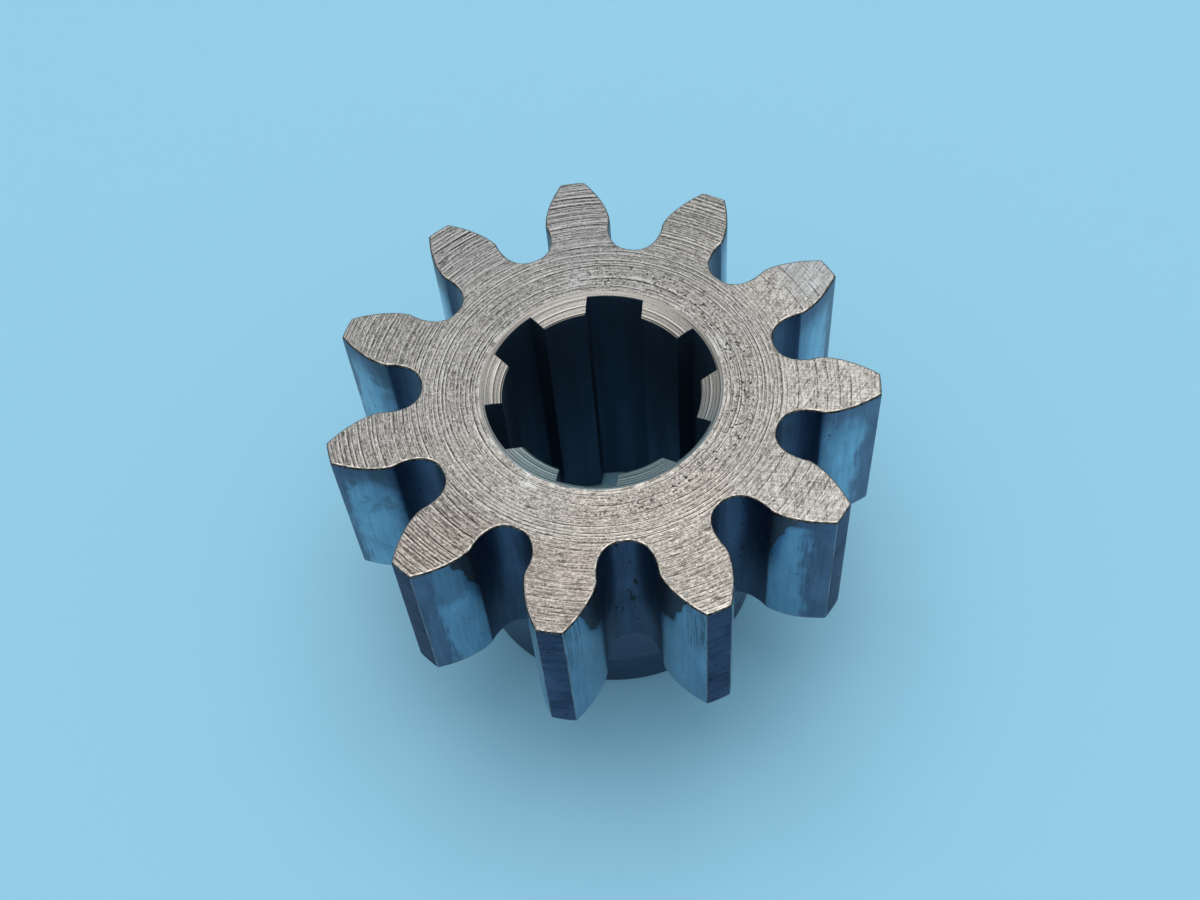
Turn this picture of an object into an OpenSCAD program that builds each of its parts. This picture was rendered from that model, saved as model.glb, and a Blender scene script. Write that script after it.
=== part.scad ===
// Splined pinion: a spur gear and its hub turned and cut from one piece of steel, with a
// straight-sided spline bore right through. The axis is Z, and the hub's end face is at z = 0.

/* [Teeth] */
// Number of teeth
teeth = 11; // [10:1:16]
// Module: millimetres of pitch diameter for each tooth
gear_module = 6.35; // [5.5:0.05:7.5]
// Pressure angle of the flanks in degrees
pressure_angle = 20; // [18:0.5:23]
// Height of a tooth above the pitch circle, in modules
addendum = 1; // [0.8:0.01:1]
// Depth of a gap below the pitch circle, in modules
dedendum = 1.25; // [1.1:0.01:1.3]
// Corner radius of the cutter that rounds the roots, in modules
root_rounding = 0.38; // [0.2:0.01:0.38]
// Length of the teeth along the axis
face_width = 28.4; // [15:0.1:45]

/* [Hub] */
// Diameter of the hub below the teeth
hub_d = 47.4; // [42:0.1:52]
// Length of the hub below the teeth
hub_length = 22.4; // [10:0.1:40]
// Bevel of the hub's lower edge
hub_bevel = 0.3; // [0.2:0.1:2]
// Radius of the corner where the hub meets the teeth
neck_radius = 1.2; // [0.4:0.1:2]

/* [Spline bore] */
// Number of grooves in the bore
grooves = 6; // [4:1:8]
// Diameter over the groove bottoms
spline_major_d = 34.9; // [33:0.1:37]
// Diameter of the bore between the lands
spline_minor_d = 29.8; // [28:0.1:31.5]
// Width of a groove between its straight sides
groove_width = 8.69; // [6:0.01:9.5]
// Angle from the tooth on +Y to the nearest groove, clockwise in degrees
groove_turn = 13.8; // [0:0.1:45]
// Reach of the turned mouth past the groove bottoms
mouth_lip = 0.75; // [0.1:0.05:1]
// Depth at which the turned mouth meets the lands
mouth_depth = 1.4; // [0.5:0.05:3]

/* [Hidden] */
$fn = 96;
total_length = hub_length + face_width;
pitch_r = gear_module * teeth / 2;
base_r = pitch_r * cos(pressure_angle);
tip_r = pitch_r + gear_module * addendum;
half_pitch_angle = 180 / teeth;
degrees_per_radian = 180 / PI;
major_r = spline_major_d / 2;
minor_r = spline_minor_d / 2;
hub_r = hub_d / 2;
mouth_r = major_r + mouth_lip;
// Points along each root curve, flank and neck corner
root_steps = 10;
flank_steps = 8;
neck_steps = 6;
// Cuts run this far past the faces they leave
overrun = 1;
// The rack-shaped cutter: its corner circle is a radius below its flank and above its tip line
widest_corner = (gear_module * PI / 4 - gear_module * dedendum * tan(pressure_angle))
    / (1 / cos(pressure_angle) - tan(pressure_angle));
corner_r = min(gear_module * root_rounding, widest_corner);
corner_drop = gear_module * dedendum - corner_r;
corner_x = gear_module * PI / 4 - corner_drop * tan(pressure_angle) - corner_r / cos(pressure_angle);
corner_last = corner_drop / tan(pressure_angle);

// Involute of an angle, in degrees
function involute(a) = tan(a) * degrees_per_radian - a;

// Angle from a tooth's centre line to its flank at radius r
function flank_angle(r) =
    half_pitch_angle / 2 + involute(pressure_angle) - involute(acos(base_r / r));

// Point where the cutter's corner leaves the gear, with the corner's centre at u past the pitch point
function corner_point(u) =
    [u, pitch_r - corner_drop] + corner_r / norm([u, corner_drop]) * [u, -corner_drop];

// Angle from a tooth's centre line to the root curve that the corner leaves there
function root_angle(u) =
    half_pitch_angle
    - atan2(corner_point(u).x, corner_point(u).y)
    + (u - corner_x) / pitch_r * degrees_per_radian;

// Whether the root curve at u still cuts the gap wider than the flank does
function root_governs(u) =
    norm(corner_point(u)) <= base_r || root_angle(u) < flank_angle(norm(corner_point(u)));

// Where the root curve hands over to the flank, found by halving
function handover(low, high, rounds) =
    rounds == 0 ? low
    : root_governs((low + high) / 2) ? handover((low + high) / 2, high, rounds - 1)
    : handover(low, (low + high) / 2, rounds - 1);

last_u = handover(0, corner_last, 40);
form_r = max(base_r, norm(corner_point(last_u)));

// Half of one tooth from the root to the tip, as [radius, angle from the tooth's centre line]
half_tooth = concat(
    [for (i = [0 : root_steps]) let (u = last_u * i / root_steps) [norm(corner_point(u)), root_angle(u)]],
    [for (i = [1 : flank_steps]) let (r = form_r + (tip_r - form_r) * i / flank_steps) [r, flank_angle(r)]]
);

function polar(r, a) = [r * cos(a), r * sin(a)];

// Outline of the whole gear, one tooth after another from the one on +Y
gear_outline = [
    for (k = [0 : teeth - 1])
        let (centre = 90 + k * 2 * half_pitch_angle, last = len(half_tooth) - 1)
            each concat(
                [for (p = half_tooth) polar(p[0], centre - p[1])],
                [polar(tip_r, centre)],
                [for (i = [last : -1 : 0]) polar(half_tooth[i][0], centre + half_tooth[i][1])]
            )
];

// Section of the hub from the axis out, with its bevel below and its rounded corner above
hub_section = concat(
    [[0, 0], [hub_r - hub_bevel, 0], [hub_r, hub_bevel]],
    [for (i = [0 : neck_steps]) let (a = 90 * i / neck_steps)
        [hub_r + neck_radius * (1 - cos(a)), hub_length - neck_radius * (1 - sin(a))]],
    [[hub_r + neck_radius, hub_length + overrun], [0, hub_length + overrun]]
);

module gear_teeth() {
    translate([0, 0, hub_length])
        linear_extrude(height = face_width)
            polygon(gear_outline);
}

module hub() {
    rotate_extrude()
        polygon(hub_section);
}

// Turned mouth of the bore, opening upwards with its rim at z = 0
module mouth() {
    slope = (mouth_r - minor_r) / mouth_depth;
    translate([0, 0, -mouth_depth - overrun])
        cylinder(
            h = mouth_depth + 2 * overrun,
            r1 = minor_r - slope * overrun,
            r2 = mouth_r + slope * overrun
        );
}

module spline_bore() {
    through = total_length + 2 * overrun;
    translate([0, 0, -overrun]) {
        cylinder(h = through, r = minor_r);
        for (k = [0 : grooves - 1])
            intersection() {
                cylinder(h = through, r = major_r);
                rotate([0, 0, 90 - groove_turn + k * 360 / grooves])
                    translate([0, -groove_width / 2, 0])
                        cube([2 * major_r, groove_width, through]);
            }
    }
    translate([0, 0, total_length])
        mouth();
    mirror([0, 0, 1])
        mouth();
}

module pinion() {
    color([0.66, 0.64, 0.60])
        difference() {
            union() {
                gear_teeth();
                hub();
            }
            spline_bore();
        }
}

pinion();
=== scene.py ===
import math

import bmesh
import bpy
from mathutils import Matrix, Vector, noise


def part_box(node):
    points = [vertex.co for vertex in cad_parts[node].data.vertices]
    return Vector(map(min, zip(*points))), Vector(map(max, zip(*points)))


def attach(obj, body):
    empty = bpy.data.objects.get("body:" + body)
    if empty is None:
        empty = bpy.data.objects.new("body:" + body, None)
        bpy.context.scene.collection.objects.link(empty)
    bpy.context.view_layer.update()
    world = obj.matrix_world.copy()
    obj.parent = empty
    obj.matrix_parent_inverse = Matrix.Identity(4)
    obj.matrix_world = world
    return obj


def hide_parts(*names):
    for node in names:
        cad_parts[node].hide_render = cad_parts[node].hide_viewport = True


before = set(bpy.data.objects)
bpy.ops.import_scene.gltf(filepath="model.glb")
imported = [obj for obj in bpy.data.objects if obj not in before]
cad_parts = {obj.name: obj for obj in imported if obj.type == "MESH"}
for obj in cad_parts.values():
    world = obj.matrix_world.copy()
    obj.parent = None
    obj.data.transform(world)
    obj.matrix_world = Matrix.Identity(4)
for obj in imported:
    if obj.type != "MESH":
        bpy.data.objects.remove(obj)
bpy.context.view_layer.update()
boxLow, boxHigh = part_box("pinion")
print("frame loaded, pinion box", tuple(boxLow), tuple(boxHigh))

mm = 0.001

# which finish a face gets, kept as a face attribute until the materials are set
finishNames = ["face", "flank", "tip", "hub", "bore", "mouth"]
finishIndex = {name: i for i, name in enumerate(finishNames)}

gear = {
    "teeth": 11,
    "pressureAngle": math.radians(20),
    "dedendum": 1.25,  # in modules
    "cutterCorner": 0.38,  # in modules
    "faceWidth": 28.4 * mm,
    "rootSteps": 14,
    "flankSteps": 16,
    "tipSteps": 4,
    "halvings": 40,  # rounds of the search for the end of the root curve
    "levels": [0, 0.03, 0.1, 0.3, 0.5, 0.7, 0.9, 0.97, 1],  # shares of the face width
}

hub = {
    "radius": 23.7 * mm,
    "bevel": 0.3 * mm,
    "neck": 1.2 * mm,
    "neckSteps": 6,
    "seamRadius": 20.5 * mm,  # circle on the end face where the tooth and bore sectors meet
}

bore = {
    "grooves": 6,
    "majorRadius": 17.45 * mm,
    "minorRadius": 14.9 * mm,
    "grooveWidth": 8.69 * mm,
    "grooveTurn": math.radians(13.8),  # clockwise from the tooth on +Y
    "lip": 0.75 * mm,
    "mouthDepth": 1.4 * mm,
    "mouthRings": 16,
    "ridgeDepth": 0.035 * mm,  # turned ridges left on the mouth
    "ridgeWaves": ((0.21 * mm, 0), (0.57 * mm, 1)),  # length and phase of the two waves in them
    "ridgeFade": (0.3 * mm, 0.2 * mm),  # how near to the rim and to the lands they fade out
    "landSteps": 8,
    "sideSteps": 4,
    "bottomSteps": 12,
    "levels": [0, 0.02, 0.08, 0.3, 0.5, 0.7, 0.92, 0.98, 1],  # shares of the wall between the mouths
    "seamRadius": 22.0 * mm,  # circle on the upper face where the tooth and bore sectors meet
}

# the whole turn is cut so that both 11 and 6 sectors land on the same seam points
seams = {"cuts": 4, "mergeDistance": 0.002 * mm}
seamPerTooth = seams["cuts"] * bore["grooves"]
seamPerGroove = seams["cuts"] * gear["teeth"]

topZ = boxHigh[2]
tipRadius = boxHigh[1]
module = tipRadius / (gear["teeth"] / 2 + 1)
pitchRadius = module * gear["teeth"] / 2
baseRadius = pitchRadius * math.cos(gear["pressureAngle"])
halfPitch = math.pi / gear["teeth"]
toothLowZ = topZ - gear["faceWidth"]


def evenly(first, last, steps):
    return [first + (last - first) * i / steps for i in range(steps + 1)]


def involute(angle):
    return math.tan(angle) - angle


def flankAngle(radius):
    return halfPitch / 2 + involute(gear["pressureAngle"]) - involute(math.acos(baseRadius / radius))


# the rack-shaped cutter's corner circle leaves the root curve
cornerRadius = module * gear["cutterCorner"]
cornerDrop = module * gear["dedendum"] - cornerRadius
cornerX = (
    module * math.pi / 4
    - cornerDrop * math.tan(gear["pressureAngle"])
    - cornerRadius / math.cos(gear["pressureAngle"])
)


def rootPoint(u):
    reach = math.hypot(u, cornerDrop)
    x = u + cornerRadius * u / reach
    y = pitchRadius - cornerDrop - cornerRadius * cornerDrop / reach
    angle = halfPitch - math.atan2(x, y) + (u - cornerX) / pitchRadius
    return math.hypot(x, y), angle


def rootGoverns(u):
    radius, angle = rootPoint(u)
    return radius <= baseRadius or angle < flankAngle(radius)


def handover():
    low, high = 0.0, cornerDrop / math.tan(gear["pressureAngle"])
    for _ in range(gear["halvings"]):
        middle = (low + high) / 2
        if rootGoverns(middle):
            low = middle
        else:
            high = middle
    return low


def toothOutline():
    # one pitch from gap to gap over the tooth on +Y, as flat points with the strip each one starts
    lastU = handover()
    formRadius = max(baseRadius, rootPoint(lastU)[0])
    half = [(rootPoint(0)[0], halfPitch)]
    half += [rootPoint(u) for u in evenly(0, lastU, gear["rootSteps"])]
    half += [(r, flankAngle(r)) for r in evenly(formRadius, tipRadius, gear["flankSteps"])[1:]]
    tipAngle = half[-1][1]
    tip = [(tipRadius, tipAngle * (1 - 2 * i / gear["tipSteps"])) for i in range(1, gear["tipSteps"])]
    polar = [(r, -a) for r, a in half + tip] + half[::-1]
    strips = ["flank"] * (len(half) - 1) + ["tip"] * gear["tipSteps"] + ["flank"] * (len(half) - 1)
    return [(r * math.sin(a), r * math.cos(a)) for r, a in polar], strips


def addObject(name, data):
    made = bpy.data.objects.new(name, data)
    bpy.context.scene.collection.objects.link(made)
    return made


def takeMesh(bm, name):
    mesh = bpy.data.meshes.new(name)
    bm.to_mesh(mesh)
    bm.free()
    return mesh


class Sector:
    # a bmesh with a finish number on each face
    def __init__(self):
        self.bm = bmesh.new()
        self.finish = self.bm.faces.layers.int.new("finish")

    def ring(self, points):
        return [self.bm.verts.new(p) for p in points]

    def face(self, corners, name, smooth):
        made = self.bm.faces.new(corners)
        made[self.finish] = finishIndex[name]
        made.smooth = smooth

    def skin(self, first, second, names):
        for i in range(len(first) - 1):
            name = names if isinstance(names, str) else names[i]
            self.face([first[i], first[i + 1], second[i + 1], second[i]], name, True)

    def flat(self, first, second, name):
        self.face(first + second[::-1], name, False)

    def toObject(self, name):
        return addObject(name, takeMesh(self.bm, name))


def arcPoints(radius, z, start, end, steps):
    # angles are clockwise from +Y
    return [(radius * math.sin(a), radius * math.cos(a), z) for a in evenly(start, end, steps)]


def makeToothSector():
    sector = Sector()
    outline, strips = toothOutline()
    heights = [topZ - gear["faceWidth"] * share for share in gear["levels"]]
    rings = [sector.ring([(x, y, z) for x, y in outline]) for z in heights]
    for upper, lower in zip(rings, rings[1:]):
        sector.skin(upper, lower, strips)
    turned = [(bore["seamRadius"], topZ), (hub["radius"] + hub["neck"], toothLowZ)]
    for a in evenly(0, math.pi / 2, hub["neckSteps"])[1:]:
        reach = hub["radius"] + hub["neck"] * (1 - math.sin(a))
        turned.append((reach, toothLowZ - hub["neck"] * (1 - math.cos(a))))
    turned += [(hub["radius"], toothLowZ / 2), (hub["radius"], hub["bevel"])]
    turned += [(hub["radius"] - hub["bevel"], 0), (hub["seamRadius"], 0)]
    rounds = [sector.ring(arcPoints(r, z, -halfPitch, halfPitch, seamPerTooth)) for r, z in turned]
    sector.flat(rings[0], rounds[0], "face")
    sector.flat(rings[-1], rounds[1], "face")
    for upper, lower in zip(rounds[1:-2], rounds[2:-1]):
        sector.skin(upper, lower, "hub")
    sector.flat(rounds[-2], rounds[-1], "face")
    return sector.toObject("toothSector")


def boreOutline(start, end):
    # radius and angle round one groove that points along +Y
    minor, major = bore["minorRadius"], bore["majorRadius"]
    half = bore["grooveWidth"] / 2
    innerAngle = math.asin(half / minor)
    outerAngle = math.asin(half / major)
    innerY = minor * math.cos(innerAngle)
    outerY = major * math.cos(outerAngle)

    def land(edge, corner):
        return [(minor, a) for a in evenly(edge, corner, bore["landSteps"])[:-1]]

    def side(sign):
        ys = evenly(innerY, outerY, bore["sideSteps"])[:-1]
        return [(math.hypot(half, y), sign * math.atan2(half, y)) for y in ys]

    steps = bore["bottomSteps"]
    bottom = [(major, outerAngle * (2 * i / steps - 1)) for i in range(steps + 1)]
    return land(start, -innerAngle) + side(-1) + bottom + side(1)[::-1] + land(end, innerAngle)[::-1]


def makeBoreSector():
    sector = Sector()
    pitch = 2 * math.pi / bore["grooves"]
    seamStep = pitch / seamPerGroove
    # the sector starts on a seam point of the tooth sectors, close to half a pitch before the groove
    start = round((bore["grooveTurn"] - pitch / 2) / seamStep) * seamStep - bore["grooveTurn"]
    outline = boreOutline(start, start + pitch)
    rimRadius = bore["majorRadius"] + bore["lip"]
    slope = bore["mouthDepth"] / (rimRadius - bore["minorRadius"])

    def mouthDrop(radius):
        fine, coarse = (math.sin(radius / wave + phase) for wave, phase in bore["ridgeWaves"])
        ridge = bore["ridgeDepth"] * fine * coarse
        nearRim, nearLand = bore["ridgeFade"]
        fade = min(1, (rimRadius - radius) / nearRim) * min(1, (radius - bore["minorRadius"]) / nearLand)
        return (rimRadius - radius) * slope + ridge * max(0, fade)

    def mouthRing(share, up):
        points = []
        for radius, angle in outline:
            r = rimRadius + (radius - rimRadius) * share
            z = topZ - mouthDrop(r) if up else mouthDrop(r)
            points.append((r * math.sin(angle), r * math.cos(angle), z))
        return sector.ring(points)

    shares = evenly(0, 1, bore["mouthRings"])
    upper = [mouthRing(share, True) for share in shares]
    lower = [mouthRing(share, False) for share in shares]
    walls = [upper[-1]]
    for share in bore["levels"][1:-1]:
        walls.append(sector.ring([a.co.lerp(b.co, share) for a, b in zip(upper[-1], lower[-1])]))
    walls.append(lower[-1])
    for rings, name in ((upper, "mouth"), (walls, "bore"), (lower, "mouth")):
        for first, second in zip(rings, rings[1:]):
            sector.skin(first, second, name)
    for rim, radius, z in ((upper[0], bore["seamRadius"], topZ), (lower[0], hub["seamRadius"], 0)):
        seam = sector.ring(arcPoints(radius, z, start, start + pitch, seamPerGroove))
        sector.flat(seam, rim, "face")
    return sector.toObject("boreSector")


def put(tree, kind, values=None, **settings):
    # adds a node, sets its options, and links its inputs or sets constants on them
    made = tree.nodes.new(kind)
    for name, value in settings.items():
        setattr(made, name, value)
    for name, value in (values or {}).items():
        if isinstance(value, bpy.types.NodeSocket):
            tree.links.new(value, made.inputs[name])
        else:
            made.inputs[name].default_value = value
    return made


def calc(tree, operation, *values):
    return put(tree, "ShaderNodeMath", dict(enumerate(values)), operation=operation).outputs[0]


def vectorCalc(tree, operation, *values, result="Vector"):
    return put(tree, "ShaderNodeVectorMath", dict(enumerate(values)), operation=operation).outputs[result]


def combine(tree, **parts):
    return put(tree, "ShaderNodeCombineXYZ", parts).outputs[0]


def separate(tree, vector):
    return put(tree, "ShaderNodeSeparateXYZ", {0: vector}).outputs


def fromAxis(tree, where):
    # the part of a place that is square to Z, and its length
    flat = vectorCalc(tree, "MULTIPLY", where, (1, 1, 0))
    return flat, vectorCalc(tree, "LENGTH", flat, result="Value")


def spread(tree, value, low, high, toLow=0.0, toHigh=1.0):
    # eases from toLow to toHigh while the value goes from low to high
    values = {"Value": value, "From Min": low, "From Max": high, "To Min": toLow, "To Max": toHigh}
    return put(tree, "ShaderNodeMapRange", values, interpolation_type="SMOOTHSTEP").outputs["Result"]


def blend(tree, factor, first, second, mode="MIX"):
    # a colour mix's sockets share their names, so they go by number
    values = {0: factor, 6: first, 7: second}
    return put(tree, "ShaderNodeMix", values, data_type="RGBA", blend_type=mode).outputs[2]


def ringNoise(tree, around, breaks, along, detail):
    # noise that changes across the arcs with along, and on the way round with breaks
    turn = put(tree, "ShaderNodeVectorMath", {0: around, "Scale": breaks}, operation="SCALE")
    where = vectorCalc(tree, "ADD", turn.outputs["Vector"], combine(tree, Z=along))
    return put(tree, "ShaderNodeTexNoise", {"Vector": where, "Scale": 1.0, "Detail": detail}).outputs["Fac"]


def newGroup(name, inputs, outputs):
    # inputs are a place and named numbers or, for a grain, three numbers
    tree = bpy.data.node_groups.new(name, "ShaderNodeTree")
    tree.interface.new_socket("Vector", in_out="INPUT", socket_type="NodeSocketVector")
    for socketName, value in inputs.items():
        kind = "NodeSocketVector" if isinstance(value, tuple) else "NodeSocketFloat"
        socket = tree.interface.new_socket(socketName, in_out="INPUT", socket_type=kind)
        socket.default_value = value
    for socketName in outputs:
        tree.interface.new_socket(socketName, in_out="OUTPUT", socket_type="NodeSocketFloat")
    return tree, tree.nodes.new("NodeGroupInput").outputs, tree.nodes.new("NodeGroupOutput").inputs


def ringGroup():
    # arcs round Z: Pitch apart, broken up along the turn by Breaks
    inputs = {"Pitch": 0.5 * mm, "Breaks": 2.0, "Detail": 2.0, "Seed": 0.0}
    tree, into, out = newGroup("turnedRings", inputs, ["Rings"])
    flat, radius = fromAxis(tree, into["Vector"])
    around = vectorCalc(tree, "NORMALIZE", flat)
    along = calc(tree, "ADD", calc(tree, "DIVIDE", radius, into["Pitch"]), into["Seed"])
    tree.links.new(ringNoise(tree, around, into["Breaks"], along, into["Detail"]), out["Rings"])
    return tree


line = {
    "detail": 1.0,
    "driftBreaks": 0.8,
    "driftRate": 400.0,  # per metre of radius
    "apart": 7.31,  # from the noise of one line to the next one's
    "hold": (0.36, 0.49),  # noise between which a line sets in
    "weakest": 0.4,
    "lipShift": 1.9,  # in widths
}


def lineGroup():
    # single tool lines round Z: a wandering pitch, and for each line its own strength and breaks
    inputs = {"Pitch": 0.7 * mm, "Width": 0.1, "Wander": 1.0, "Breaks": 3.0, "Seed": 0.0}
    tree, into, out = newGroup("toolLines", inputs, ["Lines", "Lips"])
    flat, radius = fromAxis(tree, into["Vector"])
    around = vectorCalc(tree, "NORMALIZE", flat)
    driftAlong = calc(tree, "MULTIPLY_ADD", radius, line["driftRate"], into["Seed"])
    drift = ringNoise(tree, around, line["driftBreaks"], driftAlong, line["detail"])
    turns = calc(tree, "ADD", calc(tree, "DIVIDE", radius, into["Pitch"]), into["Seed"])
    turns = calc(tree, "MULTIPLY_ADD", drift, into["Wander"], turns)
    number = calc(tree, "FLOOR", turns)
    off = calc(tree, "SUBTRACT", calc(tree, "FRACT", turns), 0.5)
    apart = calc(tree, "MULTIPLY_ADD", number, line["apart"], into["Seed"])
    hold = spread(tree, ringNoise(tree, around, into["Breaks"], apart, line["detail"]), *line["hold"])
    own = put(tree, "ShaderNodeTexWhiteNoise", {"W": apart}, noise_dimensions="1D").outputs["Value"]
    strength = calc(tree, "MULTIPLY", hold, spread(tree, own, 0.0, 1.0, line["weakest"], 1.0))
    halfWidth = calc(tree, "MULTIPLY", into["Width"], 0.5)
    for name, shift in (("Lines", 0.0), ("Lips", line["lipShift"])):
        middle = calc(tree, "MULTIPLY", into["Width"], shift)
        away = calc(tree, "ABSOLUTE", calc(tree, "SUBTRACT", off, middle))
        mark = spread(tree, away, halfWidth, into["Width"], 1.0, 0.0)
        tree.links.new(calc(tree, "MULTIPLY", mark, strength), out[name])
    return tree


def streakGroup():
    # noise drawn out along one axis: Grain is the size of a streak on each axis
    inputs = {"Grain": (0.4 * mm, 0.4 * mm, 8 * mm), "Detail": 2.0, "Turn": 0.0, "Wave": 0.0, "Seed": 0.0}
    tree, into, out = newGroup("drawnStreaks", inputs, ["Streaks"])
    turning = {"Vector": into["Vector"], "Angle": into["Turn"]}
    turned = put(tree, "ShaderNodeVectorRotate", turning, rotation_type="Z_AXIS")
    where = vectorCalc(tree, "DIVIDE", turned.outputs[0], into["Grain"])
    moved = vectorCalc(tree, "ADD", where, combine(tree, X=into["Seed"]))
    drawn = {"Vector": moved, "Scale": 1.0, "Detail": into["Detail"], "Distortion": into["Wave"]}
    tree.links.new(put(tree, "ShaderNodeTexNoise", drawn).outputs["Fac"], out["Streaks"])
    return tree


rings = ringGroup()
toolLines = lineGroup()
streaks = streakGroup()


class Steel:
    # one finish: a Principled shader, object coordinates and short calls for the shared groups
    def __init__(self, name):
        self.material = bpy.data.materials.new(name)
        self.material.use_nodes = True
        self.tree = self.material.node_tree
        self.shader = self.tree.nodes["Principled BSDF"]
        self.shader.inputs["Metallic"].default_value = 1.0
        self.where = put(self.tree, "ShaderNodeTexCoord").outputs["Object"]

    def place(self):
        return separate(self.tree, self.where)

    def radius(self):
        return fromAxis(self.tree, self.where)[1]

    def distance(self, point):
        return vectorCalc(self.tree, "DISTANCE", self.where, point, result="Value")

    def group(self, tree, **values):
        return put(self.tree, "ShaderNodeGroup", {"Vector": self.where, **values}, node_tree=tree).outputs

    def rings(self, pitch, breaks, detail, seed):
        return self.group(rings, Pitch=pitch, Breaks=breaks, Detail=detail, Seed=seed)["Rings"]

    def streaks(self, grain, detail, seed, turn=0.0, wave=0.0):
        made = self.group(streaks, Grain=grain, Detail=detail, Turn=turn, Wave=wave, Seed=seed)
        return made["Streaks"]

    def lines(self, pitch, width, wander, breaks, seed):
        made = self.group(toolLines, Pitch=pitch, Width=width, Wander=wander, Breaks=breaks, Seed=seed)
        return made["Lines"], made["Lips"]

    def grain(self, size, detail=2.0):
        values = {"Vector": self.where, "Scale": 1 / size, "Detail": detail}
        return put(self.tree, "ShaderNodeTexNoise", values).outputs["Fac"]

    def spread(self, value, low, high, toLow=0.0, toHigh=1.0):
        return spread(self.tree, value, low, high, toLow, toHigh)

    def calc(self, operation, *values):
        return calc(self.tree, operation, *values)

    def invert(self, mask):
        return self.calc("SUBTRACT", 1.0, mask)

    def sum(self, *weighted):
        total = 0.0
        for value, weight in weighted:
            total = self.calc("MULTIPLY_ADD", value, weight, total)
        return total

    def level(self, middle, *weighted):
        # noise is centred on a half, so this swings about the middle
        return self.calc("ADD", self.sum(*weighted), middle - 0.5 * sum(weight for _, weight in weighted))

    def product(self, *values):
        total = values[0]
        for value in values[1:]:
            total = self.calc("MULTIPLY", total, value)
        return total

    def ramp(self, level, tones):
        return blend(self.tree, level, *tones)

    def tint(self, colour, mask, other):
        return blend(self.tree, mask, colour, other)

    def shade(self, colour, mask, other):
        return blend(self.tree, mask, colour, other, "MULTIPLY")

    def finish(self, colour, roughness, height, depth):
        self.tree.links.new(colour, self.shader.inputs["Base Color"])
        self.tree.links.new(roughness, self.shader.inputs["Roughness"])
        bump = put(self.tree, "ShaderNodeBump", {"Height": height, "Strength": 1.0, "Distance": depth})
        self.tree.links.new(bump.outputs["Normal"], self.shader.inputs["Normal"])
        return self.material


def grey(level, warmth=0.0):
    return (level * (1 + warmth), level, level * (1 - warmth), 1)


def tone(red, green, blue):
    return (red, green, blue, 1)


# how far a tool line lowers the bump's height
lineHeight = -0.8

faceTones = {
    "ground": (grey(0.12, 0.08), grey(0.57, 0.015)),
    "scuffed": grey(0.54, 0.03),
    "burnished": grey(0.60, 0.01),
    "lightStroke": grey(0.66, 0.02),
    "paintedStrokeShadow": grey(0.09, 0.12),
    "dulledEnd": tone(0.36, 0.39, 0.42),
    "fineScratch": tone(0.56, 0.61, 0.66),
    "smear": tone(0.62, 0.65, 0.68),
    "lip": grey(0.68, 0.02),
    "groove": grey(0.05, 0.10),
    "dash": grey(0.06, 0.15),
    "paintedGlintGrain": grey(0.72, 0.03),
    "fleck": grey(0.05, 0.15),
    "pit": grey(0.03, 0.06),
}

# tones by zone: painted reflection makes the front warmer and lighter, the left greyer, the back darker
# and one far tooth lighter; low on the right the face is greyer, and in front on the left browner
faceZoneTones = {
    "warm": tone(1.06, 1.04, 1.0),
    "left": tone(0.92, 0.935, 0.945),
    "shadedBack": tone(0.84, 0.875, 0.91),
    "brown": tone(0.92, 0.88, 0.87),
    "lowRight": tone(0.89, 0.91, 0.94),
    "farRight": tone(1.18, 1.15, 1.10),
}

faceMarks = {
    "scuffSide": (0.978, -0.208),  # direction from the axis to the scuffed teeth
    "strokes": [(-0.8, 7, 0.8), (-1.5, 19, 0.5), (0.3, 67, 0.4)],  # turn, seed and strength
    "scratchedEnd": (35.4 * mm, 16.2 * mm, topZ),
    # x, y and reach of each smear in millimetres
    "smears": [(-1.0, 21.2, 3.4), (8.4, 18.9, 2.6), (18.7, 4.6, 2.8), (-11.7, -15.1, 2.8)],
    # radius of each bold scratch across the teeth, and the seed of its breaks
    "scratches": [(29.5 * mm, 4), (32.2 * mm, 18), (33.7 * mm, 31), (35.5 * mm, 46), (37.1 * mm, 58)],
}


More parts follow.
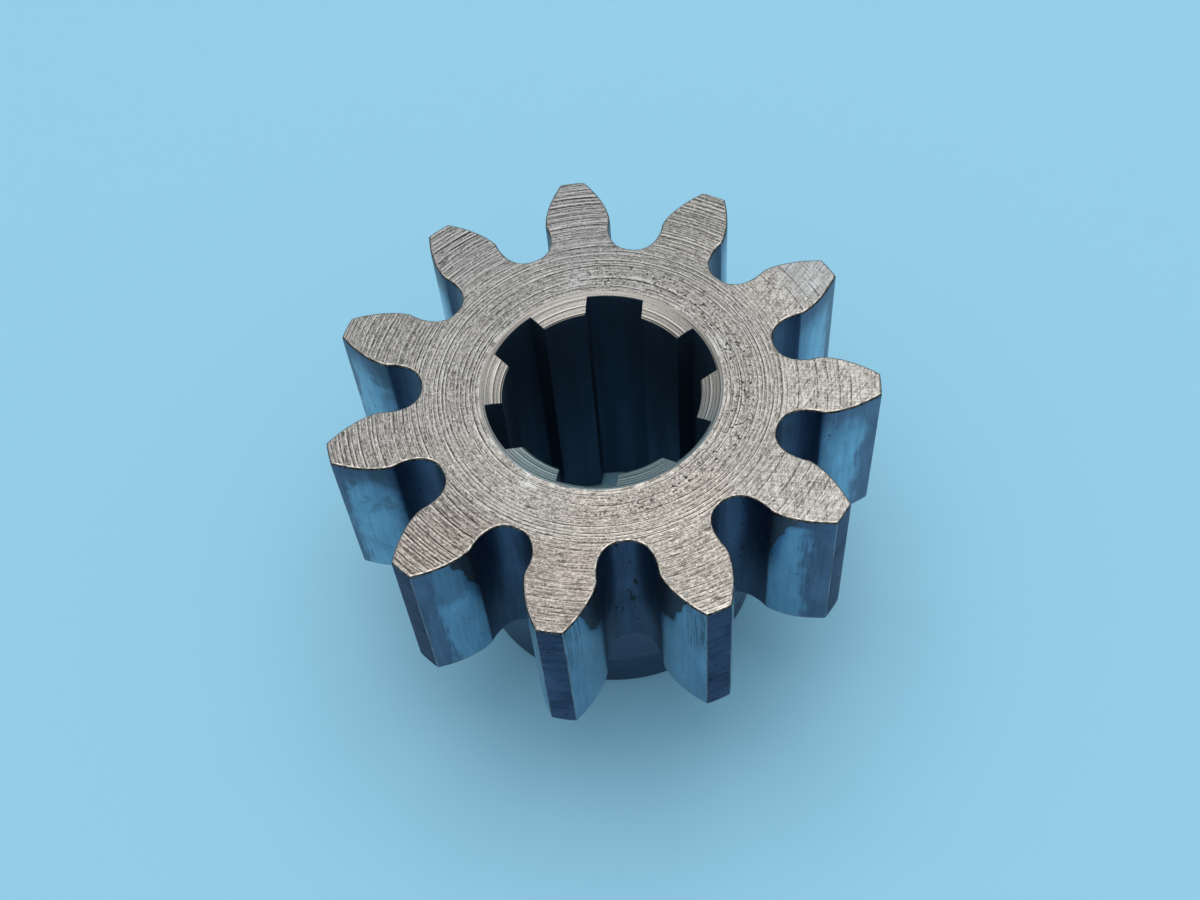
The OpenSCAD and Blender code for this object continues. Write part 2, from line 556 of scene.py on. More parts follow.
def faceZones(s, radius):
    # where on the upper face each kind of mark, and each zone of painted reflection, is found
    place = s.place()
    x, y = place["X"], place["Y"]
    sideX, sideY = faceMarks["scuffSide"]
    sideways = s.calc("DIVIDE", s.sum((x, sideX), (y, sideY)), radius)
    onTeeth = s.spread(radius, 26 * mm, 29 * mm)
    farTeeth = s.product(onTeeth, s.spread(y, 18 * mm, 26 * mm))
    farRight = s.product(farTeeth, s.spread(x, 10 * mm, 15 * mm))
    leftTeeth = s.product(onTeeth, s.spread(x, -14 * mm, -22 * mm), s.spread(y, 22 * mm, 17 * mm))
    leftDense = s.product(leftTeeth, s.spread(y, -8 * mm, -16 * mm, 0.5, 1.0))
    return {
        "scuffed": s.product(onTeeth, s.spread(sideways, 0.55, 0.75)),
        "burnished": s.spread(radius, 18.4 * mm, 19.4 * mm, 0.6, 0.0),
        "worn": s.spread(s.sum((y, 1.0), (radius, 1.0)), 0.0, 30 * mm, 0.75, 1.0),
        "strong": s.product(s.spread(radius, 22.4 * mm, 23.4 * mm), s.spread(radius, 27.2 * mm, 26 * mm)),
        "dense": s.sum((leftDense, 1.0), (farRight, 0.7)),
        "farTeeth": farTeeth,
        "farRight": farRight,
        "pitRing": s.product(s.spread(radius, 18.8 * mm, 20 * mm), s.spread(radius, 24 * mm, 22.5 * mm)),
        "pitSide": s.spread(x, -14 * mm, 12 * mm, 0.3, 1.0),
        # zones of painted reflection: warm in front, the left, the darker back, and farRight above
        "warm": s.spread(y, 6 * mm, -28 * mm),
        "left": s.product(s.spread(x, -2 * mm, -12 * mm), s.spread(y, 25 * mm, 17 * mm)),
        "shadedBack": s.spread(y, 12 * mm, 30 * mm),
        "brown": s.product(onTeeth, s.spread(x, 2 * mm, -4 * mm), s.spread(y, -14 * mm, -22 * mm)),
        "lowRight": s.product(s.spread(x, 14 * mm, 22 * mm), s.spread(y, -10 * mm, -18 * mm)),
    }


def addScuffs(s, colour, scuffed):
    # wavy scuffs, most of them drawn one way: whitish strokes, and dark strokes as their painted shadows
    for turn, seed, share in faceMarks["strokes"]:
        stroke = s.streaks((2.0 * mm, 0.18 * mm, 2 * mm), detail=1, seed=seed, turn=turn, wave=0.8)
        light = s.product(s.spread(stroke, 0.55, 0.61, 0.0, share), scuffed)
        colour = s.tint(colour, light, faceTones["lightStroke"])
        # painted shadow of the scuffs
        dark = s.product(s.spread(stroke, 0.45, 0.39, 0.0, 0.85 * share), scuffed)
        colour = s.tint(colour, dark, faceTones["paintedStrokeShadow"])
    # fine bluish scratches on the end of one tooth
    fine = s.streaks((4 * mm, 0.22 * mm, 2 * mm), detail=1, seed=107, turn=-0.82, wave=0.3)
    scratched = s.spread(s.distance(faceMarks["scratchedEnd"]), 7 * mm, 3.5 * mm)
    colour = s.tint(colour, s.product(scratched, 0.5), faceTones["dulledEnd"])
    scratches = s.product(s.spread(fine, 0.52, 0.60, 0.0, 0.7), scratched)
    return s.tint(colour, scratches, faceTones["fineScratch"])


def addSmears(s, colour):
    # whitish smears on the ring, drawn along the arcs
    drawn = s.spread(s.rings(0.6 * mm, breaks=9.0, detail=2, seed=83), 0.46, 0.58)
    for x, y, reach in faceMarks["smears"]:
        near = s.spread(s.distance((x * mm, y * mm, topZ)), reach * mm, 0.3 * reach * mm)
        colour = s.tint(colour, s.product(near, drawn, 0.7), faceTones["smear"])
    return colour


def addToolLines(s, colour, height, zones, torn):
    # a close and a long set nearly everywhere, two on the far teeth, strong ridges on the inner ring, and
    # two dense sets on the left teeth, most of all in front, and on one far tooth
    clean = s.calc("MULTIPLY_ADD", zones["scuffed"], -0.65, 1.0)
    usual = s.product(clean, zones["worn"], torn)
    far = zones["farTeeth"]
    strong = s.product(zones["strong"], 0.85)
    dense = s.product(zones["dense"], 0.9)
    for pitch, width, wander, breaks, seed, share, shine in (
        (0.62 * mm, 0.15, 2.0, 7.0, 29, usual, 0.6),
        (1.3 * mm, 0.08, 1.5, 2.0, 71, usual, 0.6),
        (1.25 * mm, 0.14, 3.4, 2.4, 13, far, 0.9),
        (0.62 * mm, 0.18, 2.8, 6.0, 37, s.product(far, torn), 0.9),
        (0.58 * mm, 0.16, 1.2, 1.5, 61, strong, 0.9),
        (0.50 * mm, 0.20, 2.4, 9.0, 43, dense, 0.5),
        (0.95 * mm, 0.13, 2.0, 5.0, 89, dense, 0.5),
    ):
        groove, lip = s.lines(pitch, width, wander, breaks, seed)
        colour = s.tint(colour, s.product(lip, share, shine), faceTones["lip"])
        cut = s.product(groove, share)
        colour = s.tint(colour, cut, faceTones["groove"])
        height = s.calc("MULTIPLY_ADD", cut, lineHeight, height)
    return colour, height


def addScratches(s, colour, height, wandering, scuffed, torn):
    # a few bold scratches run on over the scuffs
    bold = s.spread(scuffed, 0.0, 1.0, 0.3, 0.85)
    for away, seed in faceMarks["scratches"]:
        off = s.calc("ABSOLUTE", s.calc("SUBTRACT", wandering, away))
        held = s.product(s.spread(s.rings(0.5, breaks=5.0, detail=1, seed=seed), 0.38, 0.48), torn)
        scratch = s.product(s.spread(off, 0.05 * mm, 0.12 * mm, 1.0, 0.0), held, bold)
        colour = s.tint(colour, scratch, faceTones["groove"])
        height = s.calc("MULTIPLY_ADD", scratch, lineHeight, height)
    return colour, height


def faceSteel():
    # faced on a lathe: thin dark arcs with bright lips on a grainy ground, pits, and scuffs on some teeth
    s = Steel("facedSteel")
    radius = s.radius()
    zones = faceZones(s, radius)
    scuffed = zones["scuffed"]
    grain = s.grain(0.26 * mm, detail=1)
    torn = s.spread(s.grain(0.6 * mm, detail=1), 0.38, 0.52, 0.45, 1.0)
    bits = s.rings(0.23 * mm, breaks=52.0, detail=1, seed=5)
    dashes = s.rings(0.34 * mm, breaks=16.0, detail=1, seed=3)
    clouds = s.grain(9 * mm, detail=2)
    level = s.level(0.44, (grain, 0.8), (bits, 1.2), (dashes, 0.8), (clouds, 0.3))
    colour = s.ramp(level, faceTones["ground"])
    colour = s.tint(colour, s.product(scuffed, 0.3), faceTones["scuffed"])
    # burnished rim round the mouth, with whitish patches
    patches = s.spread(s.grain(2.2 * mm, detail=3), 0.44, 0.62)
    colour = s.tint(colour, s.product(zones["burnished"], patches), faceTones["burnished"])
    colour = addScuffs(s, colour, scuffed)
    colour = addSmears(s, colour)
    height = s.sum((grain, 0.5), (dashes, 0.5))
    colour, height = addToolLines(s, colour, height, zones, torn)
    wandering = s.sum((radius, 1.0), (clouds, 0.5 * mm))
    colour, height = addScratches(s, colour, height, wandering, scuffed, torn)
    # short dark dashes, single bright grains as painted glints and, among the dense lines, dark flecks
    colour = s.tint(colour, s.spread(dashes, 0.34, 0.28, 0.0, 0.6), faceTones["dash"])
    # painted glints: single bright grains
    colour = s.tint(colour, s.spread(grain, 0.64, 0.72, 0.0, 0.6), faceTones["paintedGlintGrain"])
    flecks = s.product(s.spread(bits, 0.46, 0.36, 0.0, 0.4), zones["dense"])
    colour = s.tint(colour, flecks, faceTones["fleck"])
    # pits, mostly on one side of the ring
    holes = s.spread(s.grain(0.5 * mm, detail=1), 0.38, 0.31)
    colour = s.tint(colour, s.product(holes, zones["pitRing"], zones["pitSide"]), faceTones["pit"])
    # painted reflection by zone: lighter and warmer in front and on one far tooth, darker on the left and
    # at the back
    for name, zoneTone in faceZoneTones.items():
        colour = s.shade(colour, zones[name], zoneTone)
    roughness = s.spread(level, 0.2, 0.8, 0.50, 0.40)
    return s.finish(colour, roughness, height, depth=0.02 * mm)


mouthTones = {
    "ground": (grey(0.13, 0.04), grey(0.44, 0.03)),
    "lip": grey(0.66, 0.02),
    "groove": grey(0.03, 0.04),
    "rubbed": tone(1.42, 1.40, 1.37),
    "bluish": tone(0.80, 0.97, 1.04),
}


def mouthSteel():
    # turned ridges, brighter on the left, and bluish in front as a painted reflection
    s = Steel("turnedMouthSteel")
    place = s.place()
    x, y = place["X"], place["Y"]
    fine = s.rings(0.22 * mm, breaks=1.0, detail=2, seed=41)
    broad = s.rings(0.42 * mm, breaks=0.35, detail=1, seed=17)
    grain = s.grain(0.25 * mm)
    level = s.level(0.53, (fine, 0.8), (broad, 0.5), (grain, 1.0))
    colour = s.ramp(level, mouthTones["ground"])
    groove, lip = s.lines(0.52 * mm, width=0.19, wander=0.9, breaks=0.7, seed=23)
    colour = s.tint(colour, s.product(lip, s.spread(y, 5 * mm, -5 * mm, 0.5, 0.95)), mouthTones["lip"])
    colour = s.tint(colour, groove, mouthTones["groove"])
    rubbed = s.product(s.spread(x, -2 * mm, -14 * mm), s.spread(y, 11 * mm, 4 * mm))
    colour = s.shade(colour, rubbed, mouthTones["rubbed"])
    # painted blue reflection on the near side of the mouth
    colour = s.shade(colour, s.spread(y, -4 * mm, -13 * mm), mouthTones["bluish"])
    roughness = s.spread(fine, 0.35, 0.65, 0.46, 0.36)
    height = s.sum((fine, 0.5), (broad, 0.6), (groove, lineHeight))
    return s.finish(colour, roughness, height, depth=0.015 * mm)


# the blue in these steel tones is partly painted reflection of the blue floor
flankTones = {
    "bright": (tone(0.165, 0.282, 0.375), tone(0.375, 0.59, 0.745)),
    "film": (tone(0.064, 0.089, 0.138), tone(0.19, 0.24, 0.345)),
    "stain": (tone(0.022, 0.021, 0.028), tone(0.08, 0.07, 0.085)),
    "lightStain": tone(0.110, 0.105, 0.125),
    "root": (tone(0.015, 0.027, 0.054), tone(0.069, 0.099, 0.172)),
    "soot": tone(0.62, 0.64, 0.68),
    "smudge": tone(0.07, 0.10, 0.12),
    "paintedFrontShade": tone(0.75, 0.785, 0.835),
    "run": tone(0.05, 0.075, 0.11),
    "pit": tone(0.006, 0.01, 0.015),
    "speck": tone(0.01, 0.015, 0.02),
}


def flankSteel():
    # dark root, partly film and partly painted shade, a burnished contact patch beside it, a film along the
    # tip and in the upper root corner
    s = Steel("cutFlankSteel")
    radius = s.radius()
    place = s.place()
    x, y = place["X"], place["Y"]
    drop = s.calc("SUBTRACT", topZ, place["Z"])
    draws = s.streaks((0.22 * mm, 0.22 * mm, 7 * mm), detail=2, seed=2)
    wide = s.streaks((0.9 * mm, 0.9 * mm, 10 * mm), detail=3, seed=13)
    ragged = s.streaks((0.4 * mm, 0.4 * mm, 4.5 * mm), detail=4, seed=23)
    torn = s.streaks((2.2 * mm, 2.2 * mm, 2.4 * mm), detail=1, seed=97)
    clouds = s.streaks((5 * mm, 5 * mm, 8 * mm), detail=3, seed=83)
    grain = s.grain(0.25 * mm)
    # the two front teeth, the ones beside them, the rest, and the right and left halves
    front = s.spread(y, -27 * mm, -33 * mm)
    lowSide = s.product(s.spread(y, -18 * mm, -22 * mm), s.invert(front))
    clear = s.spread(y, -20 * mm, -14 * mm)
    right = s.spread(x, -6 * mm, 6 * mm)
    left = s.invert(right)
    # the patch starts beside the root, slowly on the side teeth
    inner = s.spread(s.sum((radius, 1.0), (ragged, 0.6 * mm)), 33.1 * mm, 33.4 * mm)
    slow = s.spread(radius, 33 * mm, 36.5 * mm, -0.55, 0.0)
    inner = s.product(inner, s.calc("MULTIPLY_ADD", clear, slow, 1.0))
    # it ends in a ragged line along the tip
    reach = s.sum((radius, 1.0), (ragged, 2.6 * mm), (wide, 1.5 * mm), (clouds, 6.0 * mm))
    rubbed = s.sum((s.product(lowSide, right), 1.2 * mm), (s.product(clear, left), -1.2 * mm), (reach, 1.0))
    outer = s.spread(rubbed, 45.0 * mm, 43.2 * mm)
    # at its upper end it fades, and one tooth is dirty further down
    dirty = s.product(lowSide, s.spread(x, -10 * mm, -16 * mm))
    clean = s.sum((drop, 1.0), (clouds, 5.0 * mm), (ragged, 1.5 * mm), (dirty, -5.5 * mm))
    under = s.spread(clean, 4.2 * mm, s.sum((clear, 4.5 * mm), (dirty, 4.0 * mm), (1.0, 6.0 * mm)))
    under = s.calc("MAXIMUM", under, s.product(dirty, 0.45))
    patch = s.product(inner, outer, under)
    # a stain fills the upper root corner
    nearRoot = s.product(front, s.spread(radius, 40.5 * mm, 36.5 * mm))
    ends = s.sum((drop, 1.0), (radius, 1.5), (torn, 5.0 * mm), (clouds, 7.0 * mm))
    strip = s.product(lowSide, s.calc("MULTIPLY_ADD", radius, 1.5, -55.6 * mm))
    corner = s.sum((front, -2.0 * mm), (nearRoot, -6.0 * mm), (clear, 6.0 * mm), (strip, 1.0), (ends, 1.0))
    below = s.spread(corner, 59.2 * mm, 59.8 * mm)
    level = s.level(0.5, (draws, 0.5), (wide, 0.9), (clouds, 1.1), (grain, 0.35))
    bright, film, stain, root = (s.ramp(level, flankTones[n]) for n in ("bright", "film", "stain", "root"))
    # the two front teeth were rubbed nearly clean
    filmed = s.product(s.invert(patch), s.spread(front, 0.0, 1.0, 1.0, 0.25))
    colour = s.tint(bright, filmed, film)
    # one side tooth is sooty towards its upper end
    soot = s.product(clear, s.spread(x, -18 * mm, -24 * mm), s.spread(drop, 15 * mm, 2 * mm, 0.3, 1.0))
    colour = s.shade(colour, soot, flankTones["soot"])
    smudges = s.product(soot, s.spread(s.sum((torn, 0.6), (clouds, 0.6)), 0.56, 0.48, 0.0, 0.7))
    colour = s.tint(colour, smudges, flankTones["smudge"])
    # painted shade and blue reflection: the flanks darker and bluer towards the front
    colour = s.shade(colour, s.spread(y, -6 * mm, -27 * mm), flankTones["paintedFrontShade"])
    light = s.product(lowSide, s.spread(x, 10 * mm, 16 * mm), 0.8)
    stain = s.tint(stain, light, flankTones["lightStain"])
    colour = s.tint(colour, s.invert(below), stain)
    # dark runs beside the tips of the front teeth
    runs = s.product(s.spread(draws, 0.48, 0.60), front, s.spread(radius, 38.0 * mm, 39.0 * mm))
    colour = s.tint(colour, s.product(runs, s.spread(drop, 15 * mm, 8 * mm), 0.75), flankTones["run"])
    # the root is dark partly from film and partly as painted shade
    atRoot = s.spread(radius, 32.7 * mm, 33.0 * mm, 1.0, 0.0)
    colour = s.tint(colour, atRoot, root)
    # black pits, most of them down in the root at the front, and specks
    frontGap = s.spread(y, -24.5 * mm, -27 * mm)
    spots = s.streaks((1.2 * mm, 1.2 * mm, 2.4 * mm), detail=2, seed=101)
    holes = s.spread(s.sum((spots, 1.0), (frontGap, -0.04)), 0.31, 0.28)
    pits = s.product(holes, s.spread(atRoot, 0.0, 1.0, 0.15, 1.0))
    colour = s.tint(colour, pits, flankTones["pit"])
    specks = s.spread(s.grain(0.6 * mm, detail=1), 0.27, 0.23, 0.0, 0.8)
    colour = s.tint(colour, specks, flankTones["speck"])
    roughness = s.spread(s.product(patch, below), 0.0, 1.0, 0.38, 0.24)
    height = s.sum((draws, 0.6), (wide, 0.4), (grain, 0.2))
    return s.finish(colour, roughness, height, depth=0.01 * mm)


# the blue in the ground tones is partly painted reflection of the blue floor
tipTones = {
    "ground": (tone(0.021, 0.030, 0.054), tone(0.130, 0.157, 0.248)),
    "soot": tone(0.72, 0.60, 0.62),
    "pit": tone(0.008, 0.012, 0.016),
    "edge": tone(0.6, 0.6, 0.65),  # seen at a glancing angle
}


def tipSteel():
    # cross lines, strongest on the left, where it is sooty too
    s = Steel("tipLandSteel")
    x = s.place()["X"]
    lines = s.streaks((4 * mm, 4 * mm, 0.24 * mm), detail=2, seed=31)
    broad = s.streaks((5 * mm, 5 * mm, 1.2 * mm), detail=3, seed=37)
    clouds = s.grain(7 * mm, detail=3)
    grain = s.grain(0.3 * mm)
    marks = s.product(s.calc("SUBTRACT", lines, 0.5), s.spread(x, 4 * mm, -4 * mm, 0.35, 1.0))
    ground = s.level(0.45, (broad, 0.6), (clouds, 1.2), (grain, 0.6))
    colour = s.ramp(s.calc("MULTIPLY_ADD", marks, 1.1, ground), tipTones["ground"])
    s.shader.inputs["Specular Tint"].default_value = tipTones["edge"]
    colour = s.shade(colour, s.spread(x, -14 * mm, -22 * mm), tipTones["soot"])
    pits = s.spread(s.grain(0.9 * mm, detail=2), 0.34, 0.30, 0.0, 0.8)
    colour = s.tint(colour, pits, tipTones["pit"])
    roughness = s.spread(lines, 0.35, 0.65, 0.42, 0.30)
    height = s.sum((marks, 0.6), (broad, 0.3), (grain, 0.2))
    return s.finish(colour, roughness, height, depth=0.012 * mm)


# the dark ground is partly painted shade, as the hub lies under the teeth, and the lighter rubbed tone is a
# painted reflection; the blue in both is partly painted reflection of the floor
hubTones = {
    "ground": (tone(0.027, 0.040, 0.070), tone(0.113, 0.145, 0.235)),
    "rubbed": tone(0.140, 0.153, 0.225),
}


def hubSteel():
    # turned; lighter above than near the end face as a painted reflection
    s = Steel("turnedHubSteel")
    lines = s.streaks((6 * mm, 6 * mm, 0.25 * mm), detail=2, seed=43)
    broad = s.streaks((9 * mm, 9 * mm, 2.0 * mm), detail=2, seed=47)
    grain = s.grain(0.3 * mm)
    level = s.level(0.5, (lines, 0.6), (broad, 0.8), (grain, 0.6))
    colour = s.ramp(level, hubTones["ground"])
    ragged = s.sum((s.place()["Z"], 1.0), (broad, 3 * mm))
    # painted reflection: a lighter band above the lower part of the hub
    colour = s.tint(colour, s.spread(ragged, 8 * mm, 10.5 * mm, 0.0, 0.55), hubTones["rubbed"])
    roughness = s.spread(lines, 0.35, 0.65, 0.40, 0.30)
    return s.finish(colour, roughness, s.sum((lines, 0.7), (broad, 0.3)), depth=0.015 * mm)


# dark navy; the blue is partly painted reflection of the blue floor
boreTones = (tone(0.046, 0.080, 0.130), tone(0.092, 0.155, 0.245))


def boreSteel():
    # drawn along the axis by the broach
    s = Steel("broachedBoreSteel")
    draws = s.streaks((0.25 * mm, 0.25 * mm, 20 * mm), detail=2, seed=53)
    wide = s.streaks((2.2 * mm, 2.2 * mm, 30 * mm), detail=1, seed=59)
    colour = s.ramp(s.level(0.5, (draws, 0.12), (wide, 0.6)), boreTones)
    roughness = s.spread(wide, 0.35, 0.65, 0.58, 0.50)
    return s.finish(colour, roughness, s.sum((draws, 0.5), (wide, 0.5)), depth=0.005 * mm)


def edgeSteel(name, low, high, size):
    s = Steel(name)
    worn = s.grain(size, detail=3)
    colour = s.ramp(s.spread(worn, 0.35, 0.65), (low, high))
    return s.finish(colour, s.spread(worn, 0.35, 0.65, 0.42, 0.28), worn, depth=0.01 * mm)


finishes = {
    "face": faceSteel(),
    "flank": flankSteel(),
    "tip": tipSteel(),
    "hub": hubSteel(),
    "bore": boreSteel(),
    "mouth": mouthSteel(),
}
# finishes that only the broken edges get
edgeFinishes = {
    "rim": edgeSteel("rubbedRimSteel", grey(0.20, 0.03), grey(0.52, 0.04), 0.6 * mm),
    # a dark burr with painted shade, for the bevel facets that lean sideways
    "burrAndShade": edgeSteel("burrAndShadeSteel", grey(0.03, 0.16), grey(0.13, 0.10), 0.5 * mm),
    "upright": edgeSteel("softEdgeSteel", grey(0.13, 0.05), grey(0.30), 5 * mm),
}
print("finishes made:", ", ".join([*finishes, *edgeFinishes]))


def sectorArray():
    # turns the two sectors round Z, joins them into one closed body and sets the finishes
    tree = bpy.data.node_groups.new("sectorArray", "GeometryNodeTree")
    tree.is_modifier = True
    tree.interface.new_socket("Geometry", in_out="OUTPUT", socket_type="NodeSocketGeometry")
    for name, kind in (
        ("Geometry", "NodeSocketGeometry"),
        ("Tooth sector", "NodeSocketObject"),
        ("Bore sector", "NodeSocketObject"),
        ("Teeth", "NodeSocketInt"),
        ("Grooves", "NodeSocketInt"),
        ("Groove turn", "NodeSocketFloat"),
        ("Merge distance", "NodeSocketFloat"),
    ):
        tree.interface.new_socket(name, in_out="INPUT", socket_type=kind)
    into = tree.nodes.new("NodeGroupInput").outputs
    index = put(tree, "GeometryNodeInputIndex").outputs[0]
    joined = put(tree, "GeometryNodeJoinGeometry")
    for sector, count, turn in (("Tooth sector", "Teeth", None), ("Bore sector", "Grooves", "Groove turn")):
        points = put(tree, "GeometryNodePoints", {"Count": into[count]}).outputs[0]
        share = calc(tree, "DIVIDE", 2 * math.pi, into[count])
        angle = calc(tree, "MULTIPLY", index, share)
        if turn:
            angle = calc(tree, "SUBTRACT", angle, into[turn])
        shape = put(tree, "GeometryNodeObjectInfo", {"Object": into[sector]}).outputs["Geometry"]
        values = {"Points": points, "Instance": shape, "Rotation": combine(tree, Z=angle)}
        placed = put(tree, "GeometryNodeInstanceOnPoints", values)
        tree.links.new(placed.outputs[0], joined.inputs[0])
    real = put(tree, "GeometryNodeRealizeInstances", {"Geometry": joined.outputs[0]}).outputs[0]
    values = {"Geometry": real, "Distance": into["Merge distance"]}
    body = put(tree, "GeometryNodeMergeByDistance", values).outputs[0]
    stored = put(tree, "GeometryNodeInputNamedAttribute", {"Name": "finish"}, data_type="INT")
    kind = stored.outputs["Attribute"]
    for name, material in finishes.items():
        # whole numbers are compared through sockets 2 and 3
        values = {2: kind, 3: finishIndex[name]}
        same = put(tree, "FunctionNodeCompare", values, data_type="INT", operation="EQUAL").outputs[0]
        values = {"Geometry": body, "Selection": same, "Material": material}
        body = put(tree, "GeometryNodeSetMaterial", values).outputs[0]
    tree.links.new(body, tree.nodes.new("NodeGroupOutput").inputs[0])
    return tree


def plainMesh(source, name):
    depsgraph = bpy.context.evaluated_depsgraph_get()
    mesh = bpy.data.meshes.new_from_object(source.evaluated_get(depsgraph), depsgraph=depsgraph)
    mesh.name = name
    return mesh


edges = {
    "width": 0.34 * mm,
    "segments": 3,
    "rimShare": 1.0,
    "sideShare": 0.25,  # upright edges between flanks and tip lands
    "boreShare": 0.3,
    "boreReach": 18.6 * mm,  # edges inside this radius keep the finish of the mouth or the bore
    "sharpAngle": math.radians(28),
    "nick": 0.10 * mm,  # how far the tooth edges wander inwards
    "nickSize": 2.2 * mm,
    "burrAndShadeRange": (0.1, 0.8),  # upright share of the normal between which an edge is dark
}


def wearEdges(mesh):
    # lets the tooth edges wander a little and weighs each sharp edge for its bevel
    bm = bmesh.new()
    bm.from_mesh(mesh)
    bmesh.ops.recalc_face_normals(bm, faces=bm.faces)
    finish = bm.faces.layers.int["finish"]
    weight = bm.edges.layers.float.new("bevel_weight_edge")
    faceKind, flankKind, tipKind, hubKind, boreKind, mouthKind = (finishIndex[n] for n in finishNames)
    for vert in bm.verts:
        kinds = {f[finish] for f in vert.link_faces}
        if faceKind in kinds and flankKind in kinds:
            side = sum((f.normal for f in vert.link_faces if f[finish] != faceKind), Vector())
            side.z = 0
            wander = 0.5 + 0.5 * noise.noise(vert.co / edges["nickSize"])
            vert.co -= side.normalized() * edges["nick"] * wander
    for edge in bm.edges:
        if len(edge.link_faces) != 2:
            continue
        kinds = {f[finish] for f in edge.link_faces}
        if edge.calc_face_angle(0) < edges["sharpAngle"]:
            continue
        if kinds in ({mouthKind}, {boreKind}) or hubKind in kinds:
            edge.smooth = False
            continue
        share = "sideShare" if tipKind in kinds and faceKind not in kinds else "rimShare"
        edge[weight] = edges["boreShare" if kinds & {mouthKind, boreKind} else share]
    openEdges = sum(1 for e in bm.edges if len(e.link_faces) != 2)
    bm.to_mesh(mesh)
    bm.free()
    print("open or doubled edges:", openEdges)


def joinSectors():
    # the closed body with sharp edges, and one material slot for each finish
    toothSector, boreSector = makeToothSector(), makeBoreSector()
    carrier = addObject("pinionCarrier", bpy.data.meshes.new("pinionCarrier"))
    tree = sectorArray()
    array = carrier.modifiers.new("sectorArray", "NODES")
    array.node_group = tree
    wanted = {
        "Tooth sector": toothSector,
        "Bore sector": boreSector,
        "Teeth": gear["teeth"],
        "Grooves": bore["grooves"],
        "Groove turn": bore["grooveTurn"],
        "Merge distance": seams["mergeDistance"],
    }
    for item in tree.interface.items_tree:
        if item.in_out == "INPUT" and item.name in wanted:
            array[item.identifier] = wanted[item.name]
    mesh = plainMesh(carrier, "pinionSharp")
    carrier.modifiers.remove(array)
    for used in (carrier, toothSector, boreSector):
        bpy.data.objects.remove(used)
    for i in reversed(range(len(mesh.materials))):
        if mesh.materials[i] is None:
            mesh.materials.pop(index=i)
    return mesh


def breakEdges(mesh):
    # bevels the weighed edges; the bevel's faces get the first slot after the finishes
    edgeSlot = len(mesh.materials)
    for finish in edgeFinishes.values():
        mesh.materials.append(finish)
    sharp = addObject("pinionSharp", mesh)
    bevel = sharp.modifiers.new("edgeBreak", "BEVEL")
    bevel.limit_method = "WEIGHT"
    bevel.width = edges["width"]
    bevel.segments = edges["segments"]
    bevel.use_clamp_overlap = False
    bevel.material = edgeSlot
    pinion = addObject("pinionBody", plainMesh(sharp, "pinionBody"))
    bpy.data.objects.remove(sharp)
    # below each rubbed rim the edge is dark, a burr with painted shade on the facets that lean sideways,
    # and edges in the bore keep its finishes
    slots = {material.name: i for i, material in enumerate(pinion.data.materials)}
    low, high = edges["burrAndShadeRange"]
    for face in pinion.data.polygons:
        if face.material_index != edgeSlot:
            continue
        upright = abs(face.normal.z)
        if face.center.xy.length < edges["boreReach"]:
            finish = finishes["bore" if upright < low else "mouth"]
        elif upright < high:
            finish = edgeFinishes["upright" if upright < low else "burrAndShade"]
        else:
            finish = edgeFinishes["rim"]
        face.material_index = slots[finish.name]
    return pinion


sharpMesh = joinSectors()
wearEdges(sharpMesh)
pinion = breakEdges(sharpMesh)
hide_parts("pinion")
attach(pinion, "root")
print("pinion made:", len(pinion.data.polygons), "faces")

view = {
    "lens": 48.15,
    "sensor": 36.0,
    "nearest": 0.01,
    "distance": 231.78 * mm,
    "elevation": math.radians(56.155),
    "turn": math.radians(-1.739),
    "roll": math.radians(-5.7515),
    "aim": Vector((-1.081 * mm, -11.355 * mm, topZ)),
}


def addCamera():
    back = Vector((0, -math.cos(view["elevation"]), math.sin(view["elevation"])))
    right = Vector((1, 0, 0))
    up = back.cross(right)
    rolledRight = right * math.cos(view["roll"]) + up * math.sin(view["roll"])
    rolledUp = up * math.cos(view["roll"]) - right * math.sin(view["roll"])
    axes = Matrix((rolledRight, rolledUp, back)).transposed().to_4x4()
    place = Matrix.Translation(view["aim"] + back * view["distance"])
    data = bpy.data.cameras.new("photoCamera")
    data.sensor_width = view["sensor"]
    data.lens = view["lens"]
    data.clip_start = view["nearest"]
    camera = addObject("photoCamera", data)
    camera.matrix_world = Matrix.Rotation(view["turn"], 4, "Z") @ place @ axes
    bpy.context.scene.camera = camera


studio = {
    "flatRadius": 0.75,
    "sweepRadius": 0.4,
    "sweepSteps": 16,
    "wallHeight": 0.55,
    "floorSides": 96,
    "floorColour": tone(0.30, 0.64, 0.87),
    "floorRoughness": 0.6,
    "floorSheen": 0.5,
    "wallColour": tone(0.60, 0.78, 0.86),
    "fade": (0.25, 0.75),  # from the floor's colour to the wall's, by distance from the object
    "lampFrom": (0.05, 0.2, 1.17),
    "lampSize": 1.1,
    "lampPower": 4.9,
    "lampColour": (1.0, 0.97, 0.925),
    "domeLow": tone(0.60, 0.91, 1.06),
    "domeHigh": tone(1.0, 0.985, 0.955),
    "domeFade": (0.0, 0.6),  # from the low colour to the high one, by height
    "domeRise": (0.45, 1.0),  # from the horizon's strength to the top's, by height
    "domeStrength": (0.45, 0.95),
}


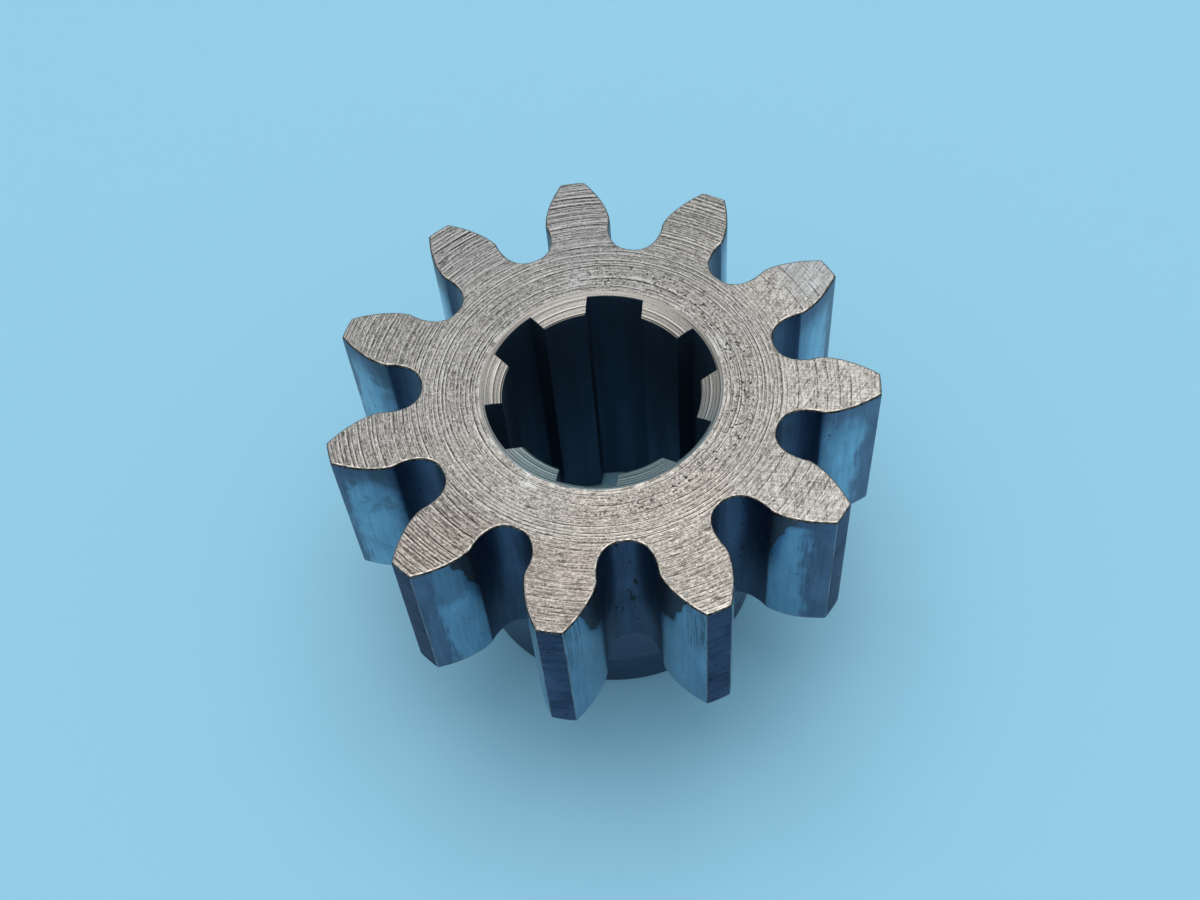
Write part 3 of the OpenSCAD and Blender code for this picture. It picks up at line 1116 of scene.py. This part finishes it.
def addFloor():
    # floor and backdrop in one bowl that rises all round the object
    flat, sweep = studio["flatRadius"], studio["sweepRadius"]
    quarter = evenly(0, math.pi / 2, studio["sweepSteps"])[1:]
    profile = [(flat, 0.0)] + [(flat + sweep * math.sin(a), sweep * (1 - math.cos(a))) for a in quarter]
    profile.append((profile[-1][0], studio["wallHeight"]))
    sides = studio["floorSides"]
    turns = [2 * math.pi * k / sides for k in range(sides)]
    bm = bmesh.new()
    rows = [[bm.verts.new((r * math.cos(t), r * math.sin(t), z)) for t in turns] for r, z in profile]
    bm.faces.new(rows[0])
    for lower, upper in zip(rows, rows[1:]):
        for k in range(sides):
            bm.faces.new([lower[k - 1], upper[k - 1], upper[k], lower[k]]).smooth = True
    floor = addObject("floor", takeMesh(bm, "floor"))
    paint = bpy.data.materials.new("paleFloor")
    paint.use_nodes = True
    tree = paint.node_tree
    shader = tree.nodes["Principled BSDF"]
    where = put(tree, "ShaderNodeTexCoord").outputs["Object"]
    fade = spread(tree, vectorCalc(tree, "LENGTH", where, result="Value"), *studio["fade"])
    colour = blend(tree, fade, studio["floorColour"], studio["wallColour"])
    tree.links.new(colour, shader.inputs["Base Color"])
    shader.inputs["Roughness"].default_value = studio["floorRoughness"]
    shader.inputs["Specular IOR Level"].default_value = studio["floorSheen"]
    floor.data.materials.append(paint)


def addLight():
    # one broad lamp overhead, in a room that glows softly from above
    data = bpy.data.lights.new("overhead", "AREA")
    data.size = studio["lampSize"]
    data.energy = studio["lampPower"]
    data.color = studio["lampColour"]
    lamp = addObject("overhead", data)
    lamp.location = studio["lampFrom"]
    lamp.rotation_euler = Vector(studio["lampFrom"]).to_track_quat("Z", "Y").to_euler()
    world = bpy.data.worlds.new("softRoom")
    world.use_nodes = True
    tree = world.node_tree
    glow = tree.nodes["Background"]
    rise = separate(tree, put(tree, "ShaderNodeTexCoord").outputs["Generated"])["Z"]
    strength = spread(tree, rise, *studio["domeRise"], *studio["domeStrength"])
    colour = blend(tree, spread(tree, rise, *studio["domeFade"]), studio["domeLow"], studio["domeHigh"])
    tree.links.new(colour, glow.inputs["Color"])
    tree.links.new(strength, glow.inputs["Strength"])
    bpy.context.scene.world = world


addCamera()
addFloor()
addLight()
bpy.context.scene.view_settings.view_transform = "Standard"
print("camera and studio set")
